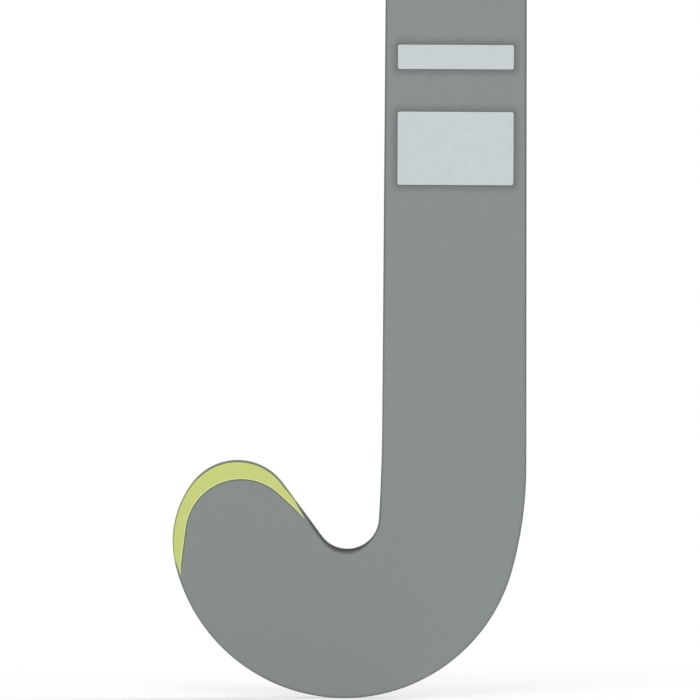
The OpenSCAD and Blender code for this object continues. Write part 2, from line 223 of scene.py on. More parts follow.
def face_y(z):
    """Depth of the playing face behind the plumb line at a height."""
    if z < FLAT_HEIGHT:
        return LOWER_SLOPE * z
    if z < FLAT_HEIGHT + BOW_LENGTH:
        bend = (LOWER_SLOPE + UPPER_SLOPE) * (z - FLAT_HEIGHT) ** 2 / (2 * BOW_LENGTH)
        return LOWER_SLOPE * z - bend
    return UPPER_SLOPE * (STICK_LENGTH - z)


ORIGIN_Y = face_y(GRIP_MIDDLE) + HANDLE_DEPTH / 2


def space(x, y, z):
    """A point of the stick, in millimetres from its foot, in the frame's metres."""
    return Vector((x, y - ORIGIN_Y, z - GRIP_MIDDLE)) * MM


def turn_step(radius, start, end):
    """The way along an arc from one heading to another."""
    across = radius * (cosine(end) - cosine(start))
    return Vector((across, radius * (sine(start) - sine(end))))


def inward(heading):
    return Vector((-cosine(heading), sine(heading)))


DRAW_ANGLE = math.degrees(math.atan(EDGE_DRAW))
CROOK_END_HEADING = 180 + DRAW_ANGLE + CROOK_RUN_TURN
ARC = math.pi / 180
HEEL_RUN = (HEEL_RUN_RADIUS, -DRAW_ANGLE, HEEL_RUN_TURN)
BEND = (BEND_RADIUS, HEEL_RUN_TURN, TOE_FRONT_HEADING)
TOE_FRONT = (TOE_FRONT_RADIUS, TOE_FRONT_HEADING, TOE_TOP_HEADING)
TOE_TOP = (TOE_TOP_RADIUS, TOE_TOP_HEADING, SLOPE_HEADING)
HEEL_RISE = -(turn_step(*HEEL_RUN) + turn_step(BEND_RADIUS, HEEL_RUN_TURN, 90))[1]
outer_arcs = []
SLOPE_START = Vector((BEND_WIDTH / 2, HEEL_RISE))
for arc in (HEEL_RUN, BEND, TOE_FRONT, TOE_TOP):
    outer_arcs.append((SLOPE_START, *arc))
    SLOPE_START = SLOPE_START + turn_step(*arc)
BEND_START, TOP_START = outer_arcs[1][0], outer_arcs[3][0]
TOE_CENTRE = TOP_START + TOE_TOP_RADIUS * inward(TOE_TOP_HEADING)
SLOPE_WAY = Vector((-sine(SLOPE_HEADING), -cosine(SLOPE_HEADING)))
crook_turn = turn_step(CROOK_RADIUS, SLOPE_HEADING, CROOK_END_HEADING)
crook_run = turn_step(CROOK_RUN_RADIUS, CROOK_END_HEADING, 180 + DRAW_ANGLE)
no_slope = SLOPE_START - crook_turn - crook_run
SLOPE_LENGTH = ((no_slope[0] + BEND_WIDTH / 2 - (no_slope[1] - HEEL_RISE) * EDGE_DRAW)
                / (sine(SLOPE_HEADING) - cosine(SLOPE_HEADING) * EDGE_DRAW))
SLOPE_END = SLOPE_START + SLOPE_LENGTH * SLOPE_WAY
CROOK_END = SLOPE_END - crook_turn
RUN_END = CROOK_END - crook_run
ROOT_HEADING = SLOPE_HEADING - 180 + ROOT_LEAD


def outer_edge(heading):
    """Place on the head's outer edge, from the heel round to the toe's top."""
    for start, radius, first, last in outer_arcs:
        if heading < last:
            break
    return start + turn_step(radius, first, heading)


def climbed(radius, first, height):
    """Heading, up to 90, where an arc that starts at the first heading has risen by a height."""
    return math.degrees(math.asin(sine(first) - height / radius))


def heel_heading(z):
    """Heading of the heel's outer edge at a height."""
    if z > BEND_START[1]:
        return climbed(HEEL_RUN_RADIUS, -DRAW_ANGLE, z - HEEL_RISE)
    return climbed(BEND_RADIUS, HEEL_RUN_TURN, z - BEND_START[1])


def handle_share(z):
    return smooth((z - TAPER_START) / TAPER_LENGTH)


def half_width(z):
    return mix(BEND_WIDTH / 2 - (z - HEEL_RISE) * EDGE_DRAW, HANDLE_WIDTH / 2, handle_share(z))


# Stations of the shell, each with its inner and outer edge points, its shares of oval handle and
# of toe, its depth, its inner edge's radius and its share of the crook's painted shade


def level(z):
    """A station across the shaft at a height."""
    outer_x = half_width(z) if z > HEEL_RISE else outer_edge(heel_heading(z))[0]
    if z > RUN_END[1]:
        inner_x = -half_width(z)
    else:
        heading = 180 - climbed(CROOK_RUN_RADIUS, CROOK_END_HEADING, CROOK_END[1] - z)
        inner_x = (CROOK_END - turn_step(CROOK_RUN_RADIUS, CROOK_END_HEADING, heading))[0]
    near_crook = smooth((CROOK_END[1] + SHADE_RUN_OUT - z) / SHADE_RUN_OUT)
    depth = mix(SHAFT_DEPTH, HANDLE_DEPTH, handle_share(z))
    return (Vector((inner_x, z)), Vector((outer_x, z)), handle_share(z), 0.0, depth, FACE_EDGE,
            SHAFT_PAINTED_SHADE * near_crook)


def crook_station(share):
    """A station round the crook, from the shaft at 0 to the slope at 1."""
    inner_heading = mix(CROOK_END_HEADING, SLOPE_HEADING, share)
    inner = SLOPE_END - turn_step(CROOK_RADIUS, SLOPE_HEADING, inner_heading)
    outer = outer_edge(mix(heel_heading(CROOK_END[1]), ROOT_HEADING, share))
    return (inner, outer, 0.0, 0.0, mix(SHAFT_DEPTH, TOE_DEPTH, smooth(share)),
            mix(FACE_EDGE, CROOK_EDGE, rise(share, CROOK_SOFTNESS)),
            mix(SHAFT_PAINTED_SHADE, 1.0, rise(share, CROOK_PAINTED_SHADE_RISE)))


TOE_INNER_LENGTH = SLOPE_LENGTH + TOE_TOP_RADIUS * (SLOPE_HEADING - TIP_HEADING) * ARC
TOE_ARCS = [(BEND_RADIUS, ROOT_HEADING, TOE_FRONT_HEADING), TOE_FRONT,
            (TOE_TOP_RADIUS, TOE_TOP_HEADING, TIP_HEADING)]
TOE_OUTER_LENGTH = sum(radius * (last - first) * ARC for radius, first, last in TOE_ARCS)
ROOT_WIDTH = (SLOPE_END - outer_edge(ROOT_HEADING)).length


def toe_heading(s):
    """Heading of the toe's outer edge at a length along it from the root."""
    for radius, first, last in TOE_ARCS:
        length = radius * (last - first) * ARC
        if s < length:
            break
        s -= length
    return first + s / radius / ARC


def toe_inner(s):
    """Place on the toe's inner edge at a length up the slope and round the top."""
    if s < SLOPE_LENGTH:
        return SLOPE_END - s * SLOPE_WAY
    heading = SLOPE_HEADING - (s - SLOPE_LENGTH) / TOE_TOP_RADIUS / ARC
    return TOP_START + turn_step(TOE_TOP_RADIUS, TOE_TOP_HEADING, heading)


def toe_station(share):
    """A station across the toe, from the slope's foot at 0 to the tip at 1."""
    inner = toe_inner(share * TOE_INNER_LENGTH)
    outer = outer_edge(toe_heading(share * TOE_OUTER_LENGTH))
    width = min(1.0, (outer - inner).length / ROOT_WIDTH)
    away = math.sqrt(max(0.0, 1 - width * width))
    roundness = (1 - away ** (2 / BACK_POWER)) ** (BACK_POWER / 2)
    depth = mix(SIDE_DEPTH, TOE_DEPTH, roundness)
    up_slope = share * TOE_INNER_LENGTH / SLOPE_LENGTH
    softness = rise(1.0, CROOK_SOFTNESS) * (1 - rise(up_slope, SLOPE_FIRMNESS))
    return (inner, outer, 0.0, smooth(3 * share - 1), depth, mix(FACE_EDGE, CROOK_EDGE, softness),
            1 - rise(up_slope, SLOPE_FADE))


# Sections


BACK_COUNT, SIDE_COUNT, CORNER_COUNT, FACE_COUNT = 36, 3, 6, 11
FIRST_CORNER = BACK_COUNT + 1 + SIDE_COUNT
FACE_END_SHARE = 0.012


def face_shares():
    """Places across the face, with one close to each end so that it shades as flat."""
    return [FACE_END_SHARE] + shares(FACE_COUNT - 2)[:-1] + [1 - FACE_END_SHARE, 1.0]


def section_angles():
    """Angles on the oval handle that the points of the flat section turn into."""
    angles, start = [0.0], 0
    for turn, places in ((180, shares(BACK_COUNT)), (15, shares(SIDE_COUNT)),
                         (45, shares(CORNER_COUNT)), (60, face_shares()),
                         (45, shares(CORNER_COUNT)), (15, shares(SIDE_COUNT)[:-1])):
        angles += [start + turn * share for share in places]
        start += turn
    return angles


def flat_section(half, depth, inset, inner_radius, outer_radius):
    """Points of the flat-faced section, over its back and then across its face."""
    side = SIDE_DEPTH - inset
    points = []
    for share in [0.0] + shares(BACK_COUNT):
        points.append((half * soft(cosine(180 * share), BACK_POWER),
                       mix(side, depth, soft(sine(180 * share), BACK_POWER))))
    points += [(-half, mix(side, inner_radius, share)) for share in shares(SIDE_COUNT)]
    for share in shares(CORNER_COUNT):
        points.append((-half + inner_radius * (1 - cosine(90 * share)),
                       inner_radius * (1 - sine(90 * share))))
    for share in face_shares():
        points.append((mix(-half + inner_radius, half - outer_radius, share), 0.0))
    for share in shares(CORNER_COUNT):
        points.append((half - outer_radius * (1 - cosine(90 - 90 * share)),
                       outer_radius * (1 - sine(90 - 90 * share))))
    return points + [(half, mix(outer_radius, side, share)) for share in shares(SIDE_COUNT)[:-1]]


def outline_tree():
    """Close places along the toe's outline, to find the distance to its edge."""
    first_heading, arc_steps, slope_steps = 120.0, 3000, 300
    places = [outer_edge(mix(first_heading, SLOPE_HEADING, share))
              for share in [0.0] + shares(arc_steps)]
    places += [SLOPE_START + SLOPE_WAY * SLOPE_LENGTH * i / slope_steps
               for i in range(1, slope_steps + 1)]
    tree = KDTree(len(places))
    for index, place in enumerate(places):
        tree.insert(place.to_3d(), index)
    tree.balance()
    return tree


toe_outline = outline_tree()
ring_angles = section_angles()


def fall_back(radius, distance):
    """How far a rounded edge falls back at a distance from its end."""
    short = max(0.0, radius - distance)
    return radius - math.sqrt(radius ** 2 - short ** 2)


def corner_radius(edge, half, inset):
    """Radius of a section's corner, or of the hollow's where it is inset."""
    radius = min(edge - inset, MOST_EDGE_SHARE * half)
    return max(LEAST_INNER_EDGE, radius) if inset else radius


def section_ring(station, inset=0.0):
    """One closed ring of the shell, or of its hollow where it is inset."""
    inner, outer, oval, toe, full_depth, inner_edge, _ = station
    span = outer - inner
    half = span.length / 2 - inset
    depth = full_depth - 2 * inset
    radii = [corner_radius(edge, half, inset) for edge in (inner_edge, FACE_EDGE)]
    face_side = range(FIRST_CORNER, FIRST_CORNER + 2 * CORNER_COUNT + FACE_COUNT)
    points = flat_section(half, depth, inset, *radii)
    ring = []
    for i, ((u, v), angle) in enumerate(zip(points, ring_angles)):
        if oval:
            u = mix(u, half * soft(cosine(angle), OVAL_POWER), oval)
            v = mix(v, depth / 2 * (1 + soft(sine(angle), OVAL_POWER)), oval)
        edge = inner + span * (0.5 + u / span.length)
        if toe and not inset and i in face_side:
            v = mix(v, fall_back(FACE_EDGE, toe_outline.find(edge.to_3d())[2]), toe)
        elif toe and not inset and i > BACK_COUNT:
            foot = radii[0] if i < FIRST_CORNER else radii[1]
            stretch = (SIDE_DEPTH - FACE_EDGE) / (SIDE_DEPTH - foot)
            v = mix(v, SIDE_DEPTH - (SIDE_DEPTH - v) * stretch, toe)
        ring.append(space(edge[0], face_y(edge[1]) + v + inset, edge[1]))
    return ring


def painted_section_shade(station):
    """Painted shade at each point of a ring: the crook's edge, and a line on both corners that is
    strong up the shaft, faint round the head and gone on the oval handle."""
    line_scale = 27 / 4  # brings the line's peak, a third of the way round, to CORNER_LINE
    corner_fall = 2.2
    inner_z, outer_z, flat = station[0][1], station[1][1], (1 - station[2]) ** 2
    line = [CORNER_LINE * line_scale * share * (1 - share) ** 2
            for share in [0.0] + shares(CORNER_COUNT)]
    toe_side = flat * (TOE_SIDE_START + rise(inner_z, TOE_SIDE_RISES))
    heel_side = flat * rise(outer_z, HEEL_SIDE_RISES)
    side = [station[-1] * share ** 2 for share in shares(SIDE_COUNT)]
    crook = [station[-1] * (1 - share ** corner_fall) for share in shares(CORNER_COUNT)]
    corner = [max(dark, toe_side * share) for dark, share in zip(crook, line[1:])]
    outer = [heel_side * share for share in line[-2::-1]]
    back, face, heel = ([0.0] * n for n in (BACK_COUNT + 1, FACE_COUNT, SIDE_COUNT - 1))
    return back + side + corner + face + outer + heel


def shell_stations(reach):
    """Stations from the open handle end to a share of the way along the toe."""
    stations = [level(SHELL_TOP)]
    for start, end, count in ((SHELL_TOP, TAPER_END, 24), (TAPER_END, TAPER_START, 36),
                              (TAPER_START, FLAT_HEIGHT, 52), (FLAT_HEIGHT, CROOK_END[1], 12)):
        stations += [level(mix(start, end, share)) for share in shares(count)]
    crook_count, toe_count = 72, 64
    stations += [crook_station(share) for share in shares(crook_count)]
    return stations + [toe_station(reach * sine(90 * share)) for share in shares(toe_count)]


# Mesh helpers


def scene_object(name, data):
    made = bpy.data.objects.new(name, data)
    bpy.context.scene.collection.objects.link(made)
    return made


def finish_piece(piece, look, replaced=()):
    """Gives a piece its shading, material and body, and hides the CAD nodes that it replaces."""
    piece.data.shade_smooth()
    piece.data.set_sharp_from_angle(angle=math.radians(SHARP_ANGLE))
    piece.data.materials.clear()
    piece.data.materials.append(look)
    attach(piece, BODY)
    if replaced:
        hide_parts(*replaced)
    return piece


def lofted(name, rings, look, replaced, loop=False):
    """A finished piece through rings, with flat ends unless it is a loop."""
    n, m = len(rings[0]), len(rings)
    faces = []
    for k in range(m if loop else m - 1):
        a, b = k * n, (k + 1) % m * n
        for i in range(n):
            j = (i + 1) % n
            faces.append((a + i, a + j, b + j, b + i))
    if not loop:
        faces += [tuple(range(n))[::-1], tuple(range((m - 1) * n, m * n))]
    mesh = bpy.data.meshes.new(name)
    mesh.from_pydata([tuple(place) for ring in rings for place in ring], [], faces)
    mesh.validate()
    return finish_piece(scene_object(name, mesh), look, replaced)


# Materials


class Nodes:
    """Short calls for building a node tree."""

    def __init__(self, tree):
        self.tree = tree

    def add(self, kind, inputs=None, **settings):
        node = self.tree.nodes.new(kind)
        for name, value in settings.items():
            setattr(node, name, value)
        for key, value in (inputs or {}).items():
            self.give(node.inputs[key], value)
        return node

    def give(self, socket, value):
        """Links a socket to another, or sets its value."""
        if isinstance(value, bpy.types.NodeSocket):
            self.tree.links.new(value, socket)
        else:
            socket.default_value = value

    def math(self, operation, *values):
        return self.add("ShaderNodeMath", dict(enumerate(values)), operation=operation).outputs[0]

    def plus(self, a, b):
        return self.math("ADD", a, b)

    def minus(self, a, b):
        return self.math("SUBTRACT", a, b)

    def times(self, a, b):
        return self.math("MULTIPLY", a, b)

    def scaled(self, value, factor, offset):
        return self.math("MULTIPLY_ADD", value, factor, offset)

    def split(self, vector):
        return self.add("ShaderNodeSeparateXYZ", {0: vector}).outputs

    def join(self, *parts):
        return self.add("ShaderNodeCombineXYZ", dict(enumerate(parts))).outputs[0]

    def blend(self, share, a, b):
        return self.add("ShaderNodeMix", {0: share, 6: a, 7: b}, data_type="RGBA").outputs[2]

    def ramp(self, value, low, high, start=0.0, end=1.0):
        """value carried from low..high to start..end, held at both ends."""
        given = {0: value, 1: low, 2: high, 3: start, 4: end}
        return self.add("ShaderNodeMapRange", given, clamp=True).outputs[0]


SATIN_GLOSS = 0.15
FINE_GRAIN = 0.000012
TONE_STEP = 3


class Finish(Nodes):
    """A material with a Principled shader, and the tools for its pattern."""

    def __init__(self, name, colour, roughness, **shader_values):
        self.made = bpy.data.materials.new(name)
        self.made.use_nodes = True
        self.made.diffuse_color = linear(colour)
        super().__init__(self.made.node_tree)
        self.shader = self.tree.nodes["Principled BSDF"].inputs
        values = dict(shader_values, Base_Color=linear(colour), Roughness=roughness)
        for key, value in values.items():
            self.shader[key.replace("_", " ")].default_value = value
        self.where = self.add("ShaderNodeTexCoord").outputs["Object"]

    def attribute(self, name):
        return self.add("ShaderNodeAttribute", attribute_name=name).outputs["Fac"]

    def noise(self, scale, detail=2.0, roughness=0.5):
        given = {"Vector": self.where, "Scale": scale, "Detail": detail, "Roughness": roughness}
        return self.add("ShaderNodeTexNoise", given).outputs["Fac"]

    def cells(self, scale, feature="F1"):
        given = {"Vector": self.where, "Scale": scale}
        return self.add("ShaderNodeTexVoronoi", given, feature=feature).outputs["Distance"]

    def mottled(self, share, colour):
        """A colour that varies by a small step either way."""
        return self.blend(share, lighter(colour, -TONE_STEP), lighter(colour, TONE_STEP))

    def surface(self, tone, roughness, height, distance, strength=0.5):
        """Colours and bumps the shader, and returns the material."""
        given = {"Height": height, "Distance": distance, "Strength": strength}
        bump = self.add("ShaderNodeBump", given).outputs["Normal"]
        for key, value in (("Base Color", tone), ("Roughness", roughness), ("Normal", bump)):
            self.give(self.shader[key], value)
        return self.made


def band_distance(coat, across, height, foot, top):
    """Distance outside a printed band, in millimetres, at a place on the face."""
    side = coat.minus(coat.math("ABSOLUTE", across), BAND_WIDTH / 2 - BAND_CORNER)
    end = coat.math("ABSOLUTE", coat.minus(height, (foot + top) / 2))
    end = coat.minus(end, (top - foot) / 2 - BAND_CORNER)
    squares = [coat.math("POWER", coat.math("MAXIMUM", way, 0.0), 2.0) for way in (side, end)]
    return coat.minus(coat.math("SQRT", coat.plus(*squares)), BAND_CORNER)


def print_shade(coat, grain):
    """Share of the dark shade on the face round the bands: a sprayed halo and a line."""
    spray, halo_start, halo_end, halo_fall, halo_strength = 1.6, 0.1, 3.4, 1.7, 0.62
    line_start, line_end, line_strength = 0.05, 0.5, 0.95
    place = coat.split(coat.where)
    across = coat.math("DIVIDE", place[0], MM)
    height = coat.scaled(place[2], 1 / MM, GRIP_MIDDLE)
    wide = band_distance(coat, across, height, *WIDE_BAND)
    narrow = band_distance(coat, across, height, *NARROW_BAND)
    near = coat.math("MINIMUM", wide, narrow)
    sprayed = coat.scaled(coat.minus(grain, 0.5), spray, near)
    halo = coat.math("POWER", coat.ramp(sprayed, halo_start, halo_end, 1.0, 0.0), halo_fall)
    line = coat.ramp(near, line_start, line_end, 1.0, 0.0)
    shade = coat.math("MAXIMUM", coat.times(halo, halo_strength), coat.times(line, line_strength))
    facing = coat.split(coat.add("ShaderNodeNewGeometry").outputs["Normal"])
    return coat.times(shade, coat.ramp(facing[1], -0.9, -0.6, 1.0, 0.0))


def satin_paint():
    """Grey satin paint with grain, specks, print shade and painted shade at the edges."""
    coat = Finish("satin_paint", GREY_PAINT, 0.55, Specular_IOR_Level=SATIN_GLOSS)
    grain = coat.noise(900.0, 3.0, 0.6)
    cloud = coat.noise(28.0, 3.0)
    tint = coat.plus(coat.times(cloud, 0.035), coat.times(grain, 0.05))
    tone = coat.mottled(coat.ramp(tint, 0.02, 0.065), GREY_PAINT)
    tone = coat.blend(print_shade(coat, grain), tone, linear(PRINT_SHADE))
    specks = coat.ramp(coat.cells(70.0), 0.008, 0.022, 0.35, 0.0)
    tone = coat.blend(specks, tone, linear(PRINT_SHADE))
    # Painted shade: darker paint at the crook and along the corners, where light falls off
    tone = coat.blend(coat.attribute("crook_painted_shade"), tone, linear(CROOK_PAINTED_SHADE))
    relief = coat.plus(coat.times(coat.noise(420.0), 0.8), coat.times(grain, 0.2))
    return coat.surface(tone, coat.ramp(cloud, 0.3, 0.7, 0.52, 0.6), relief, FINE_GRAIN)


def printed_film(name, colour, roughness=0.5):
    """Smooth print in an uneven layer, with a pale rim, a dark print line and painted edge shade.
    """
    film = Finish(name, colour, roughness, Specular_IOR_Level=SATIN_GLOSS)
    ink = film.noise(260.0, 3.0, 0.6)
    tone = film.mottled(film.ramp(ink, 0.3, 0.7), colour)
    tone = film.blend(film.times(film.attribute("pale_rim"), 0.6), tone, linear(FILM_RIM))
    # Dark print line on the inner edge, painted shade on the rounded outer edge
    tone = film.blend(film.attribute("print_line_and_edge_shade"), tone, linear(FILM_LINE))
    uneven = film.ramp(ink, 0.3, 0.7, roughness - 0.04, roughness + 0.05)
    return film.surface(tone, uneven, film.noise(700.0), FINE_GRAIN)


def soft_skin(name, colour, roughness, grain_scale, depth, sheen=0.0):
    """Grained skin of a grip or of rubber, worn a little paler on its high spots."""
    skin = Finish(name, colour, roughness, Sheen_Weight=sheen)
    cells = skin.cells(grain_scale, "SMOOTH_F1")
    fine = skin.noise(grain_scale * 2.5, 3.0, 0.6)
    dust = skin.noise(60.0, 4.0, 0.6)
    grain = skin.plus(skin.times(cells, 0.7), skin.times(fine, 0.3))
    worn = skin.times(skin.ramp(dust, 0.4, 0.75), skin.ramp(cells, 0.2, 0.7))
    tone = skin.blend(worn, linear(colour), lighter(colour, 16))
    uneven = skin.ramp(dust, 0.3, 0.7, roughness - 0.06, roughness + 0.08)
    return skin.surface(tone, uneven, grain, depth, 0.8)


def woven(name, colour, tow, roughness):
    """Plain weave of flat fibre bundles under resin."""
    cloth = Finish(name, colour, roughness, Coat_Weight=0.4)
    place = cloth.split(cloth.where)
    slant = cloth.plus(place[0], place[1])
    waves = []
    for operation in ("ADD", "SUBTRACT"):
        way = cloth.math(operation, slant, place[2])
        waves.append(cloth.math("SINE", cloth.times(way, math.pi / tow)))
    check = cloth.times(*waves)
    tone = cloth.blend(cloth.ramp(check, -0.4, 0.4), darkened(colour, 0.62), linear(colour))
    return cloth.surface(tone, roughness, cloth.math("ABSOLUTE", check), 0.00008, 0.6)


def rigid_foam(name, colour, roughness=0.9):
    """Fine open cells of moulded foam."""
    block = Finish(name, colour, roughness)
    cells = block.cells(900.0)
    tone = block.blend(block.ramp(cells, 0.1, 0.6), darkened(colour, 0.82), linear(colour))
    return block.surface(tone, roughness, cells, 0.0003, 0.8)


paint = satin_paint()
lime_print = printed_film("lime_print", LIME_FILM)
pale_print = printed_film("pale_print", PALE_FILM)
lime_vinyl = soft_skin("lime_vinyl", LIME_FILM, 0.5, 1500.0, 0.00003)
grip_skin = soft_skin("grip_skin", GRIP_COLOUR, 0.66, 850.0, 0.00009, sheen=0.15)
cap_skin = soft_skin("cap_skin", CAP_COLOUR, 0.72, 1200.0, 0.00005)
# Near-black painted shade standing in for the pin holes' depth
hole_painted_shade = soft_skin("pin_holes", HOLE_PAINTED_SHADE, 0.9, 1500.0, 0.00002)
carbon = woven("carbon_weave", CARBON_COLOUR, 0.002, 0.35)
aramid = woven("aramid_weave", ARAMID_COLOUR, 0.0016, 0.45)
foam = rigid_foam("core_foam", FOAM_COLOUR)


# Shell


def make_shell():
    """The painted shell, from its open handle end round the head. Returns its surface."""
    outer, hollow = shell_stations(TIP_REACH)[::-1], shell_stations(HOLLOW_REACH)
    rings = [section_ring(station) for station in outer]
    rings += [section_ring(station, SHELL_WALL) for station in hollow]
    shell = lofted("painted_shell", rings, paint, ["outer_laminate"])
    # Painted shade for the crook and the corners, one value for each vertex, read by the paint
    shade = shell.data.attributes.new("crook_painted_shade", "FLOAT", "POINT")
    shade.data.foreach_set("value", [share for station in outer + hollow
                                     for share in painted_section_shade(station)])
    return BVHTree.FromPolygons([vertex.co for vertex in shell.data.vertices],
                                [face.vertices for face in shell.data.polygons])


# Films


def on_shell(x, z, stand):
    """A place on the shell's face, with this stand-off from its surface."""
    start = space(x, face_y(z) - IN_FRONT, z)
    found, normal, _, _ = shell_surface.ray_cast(start, Vector((0.0, 1.0, 0.0)))
    return found + stand * MM * normal


def film_piece(name, rows, look, node):
    """A thin closed film whose rows of places lie on the shell's face."""
    rings = [[on_shell(x, z, FILM_STAND) for x, z in row]
             + [on_shell(x, z, -FILM_SINK) for x, z in row[::-1]] for row in rows]
    return lofted(name, rings, look, [node])


def mark_rims(film, rows):
    """A pale rim on the film's inner edge and last tip, and a dark line on both edges: the print's
    outline on the inner one, and painted shade, fainter near the foot, on the outer one."""
    columns = len(rows[0])
    rims, lines = [], []
    for k in range(len(rows)):
        tip_rim = rise(k / len(rows), FILM_TIP_RIM)
        outer_edge_shade = FILM_LINE_START + rise(k / len(rows), FILM_LINE_RISE)
        across = [tip_rim] * (columns - 4) + [1.0] * 2 + [tip_rim] * 2
        rims += across + across[::-1]
        across = [outer_edge_shade] * 2 + [0.0] * (columns - 4) + [1.0] * 2
        lines += across + across[::-1]
    for name, values in (("pale_rim", rims), ("print_line_and_edge_shade", lines)):
        film.data.attributes.new(name, "FLOAT", "POINT").data.foreach_set("value", values)


def touch(start, centre, radius, side):
    """Angle on a circle where a line from a place outside touches it."""
    way = start - centre
    return math.atan2(way[1], way[0]) + side * math.acos(radius / way.length)


def along_line(points, count):
    """Places at equal distances along a line of points."""
    lengths = [0.0]
    for a, b in zip(points, points[1:]):
        lengths.append(lengths[-1] + (b - a).length)
    places, k = [], 0
    for i in range(count + 1):
        goal = lengths[-1] * i / count
        while k < len(points) - 2 and lengths[k + 1] < goal:
            k += 1
        share = (goal - lengths[k]) / (lengths[k + 1] - lengths[k])
        places.append(points[k].lerp(points[k + 1], share))
    return places


def accent_outer():
    """The crescent's outer edge, from the toe's front over its top to its point."""
    head_steps, slope_steps = 300, 30
    edge = []
    for i in range(head_steps + 1):
        heading = mix(ACCENT_FOOT_HEADING, SLOPE_HEADING, i / head_steps)
        margin = ACCENT_FOOT_MARGIN
        for next_margin, start, turn in ACCENT_MARGINS:
            margin = mix(margin, next_margin, smooth((heading - start) / turn))
        edge.append(outer_edge(heading) + margin * inward(heading))
    for i in range(1, slope_steps + 1):
        halves = 2 * i / slope_steps
        margin = mix(ACCENT_TOP_MARGIN, ACCENT_SLOPE_MARGIN, smooth(halves))
        margin = mix(margin, ACCENT_POINT_MARGIN, max(0.0, halves - 1))
        place = SLOPE_START + ACCENT_SLOPE_RUN * i / slope_steps * SLOPE_WAY
        edge.append(place + margin * inward(SLOPE_HEADING))
    return edge


def accent_inner(foot, point):
    """The crescent's inner edge: an arc, and a line that touches it from either end."""
    steps = 200
    centre = TOE_CENTRE + Vector((ACCENT_SHIFT, -ACCENT_DROP))
    start = touch(foot, centre, ACCENT_RADIUS, -1)
    sweep = (start - touch(point, centre, ACCENT_RADIUS, 1)) % (2 * math.pi)
    turns = [start - sweep * i / steps for i in range(steps + 1)]
    arc = [centre + ACCENT_RADIUS * Vector((math.cos(turn), math.sin(turn))) for turn in turns]
    return [foot] + arc + [point]


def make_accent():
    """The lime crescent round the toe's edge."""
    rows_in_film, step = 180, 0.01
    edge = accent_outer()
    outside = along_line(edge, rows_in_film)
    inside = along_line(accent_inner(edge[0], edge[-1]), rows_in_film)
    rows = []
    for a, b in list(zip(outside, inside))[1:-1]:
        width = (b - a).length
        line, rim = min(FILM_LINE_WIDTH / width, 0.2), min(FILM_RIM_WIDTH / width, 0.45)
        across = [0.0, 0.6 * line, 0.75 * line, line, 2 * line,
                  1 - rim - step, 1 - rim, 1 - line - step, 1 - line, 1.0]
        rows.append([a.lerp(b, share) for share in sorted(across)])
    film = film_piece("lime_crescent", rows, lime_print, "toe_accent")
    mark_rims(film, rows)


def make_band(name, foot, top, node):
    """A plain printed band across the face, with rounded corners."""
    row_steps, column_steps = 24, 12
    rows = []
    for i in range(row_steps + 1):
        z = mix(foot, top, 0.5 - 0.5 * math.cos(math.pi * i / row_steps))
        half = BAND_WIDTH / 2 - fall_back(BAND_CORNER, min(z - foot, top - z))
        rows.append([Vector((mix(-half, half, j / column_steps), z))
                     for j in range(column_steps + 1)])
    film_piece(name, rows, pale_print, node)


# Grip, wound and perforated with Geometry Nodes

SOCKET_KINDS = {int: "NodeSocketInt", float: "NodeSocketFloat",
                bpy.types.Object: "NodeSocketObject", bpy.types.Material: "NodeSocketMaterial"}


def grown(name, form, values):
    """An object whose plain mesh comes from a geometry tree with these inputs."""
    tree = bpy.data.node_groups.new(name, "GeometryNodeTree")
    tree.interface.new_socket(name="Geometry", in_out="OUTPUT", socket_type="NodeSocketGeometry")
    for label, value in values.items():
        kind = SOCKET_KINDS[type(value)]
        tree.interface.new_socket(name=label, in_out="INPUT", socket_type=kind)
    nodes = Nodes(tree)
    given = nodes.add("NodeGroupInput").outputs
    real = nodes.add("GeometryNodeRealizeInstances", {0: form(nodes, given)}).outputs[0]
    shown = nodes.add("GeometryNodeSetMaterial", {"Geometry": real, "Material": given["Material"]})
    nodes.add("NodeGroupOutput", {0: shown.outputs[0]})
    holder = scene_object(name, bpy.data.meshes.new(name))
    modifier = holder.modifiers.new(name, "NODES")
    modifier.node_group = tree
    for item in tree.interface.items_tree:
        if item.in_out == "INPUT":
            modifier[item.identifier] = values[item.name]
    graph = bpy.context.evaluated_depsgraph_get()
    graph.update()
    mesh = bpy.data.meshes.new_from_object(holder.evaluated_get(graph), depsgraph=graph)
    holder.modifiers.remove(modifier)
    holder.data = mesh
    mesh.name = name
    return holder


def handle_place(nodes, given, turn, height, stand):
    """Place on the oval handle at a number of turns, a height and a stand-off."""
    angle = nodes.times(turn, 2 * math.pi)
    sides = []
    for operation, half in (("COSINE", given["Half width"]), ("SINE", given["Half depth"])):
        wave = nodes.math(operation, angle)
        power = nodes.math("POWER", nodes.math("ABSOLUTE", wave), OVAL_POWER)
        shape = nodes.times(nodes.math("SIGN", wave), power)
        sides.append(nodes.times(shape, nodes.plus(half, stand)))
    across = nodes.plus(sides[1], nodes.times(height, given["Lean"]))
    return nodes.join(sides[0], across, height), angle


def climb(nodes, given, turn):
    """Height of the strip's lower edge at a number of turns."""
    return nodes.scaled(nodes.minus(turn, 1.0), given["Pitch"], given["Low"])


FIRST_TURN = 0.12
LAST_TURN = 1 + (GRIP_LENGTH - 3) / GRIP_PITCH
HANDLE_INPUTS = {
    "Half width": HANDLE_WIDTH / 2 * MM,
    "Half depth": HANDLE_DEPTH / 2 * MM,
    "Lean": -UPPER_SLOPE,
    "Pitch": GRIP_PITCH * MM,
    "Low": (GRIP_FOOT - GRIP_MIDDLE) * MM,
    "High": (GRIP_TOP - GRIP_MIDDLE) * MM,
    "First turn": FIRST_TURN,
    "Last turn": LAST_TURN,
}

# Past the grip's ends the strip keeps this share of its height, and its own ends thin to this
# share of its thickness, over a part of a turn
PRESSED_SHARE = 0.002
THIN_END = 0.05
END_TURN = 0.03
MERGE_DISTANCE = 0.0000001
STEPS_IN_TURN = 60


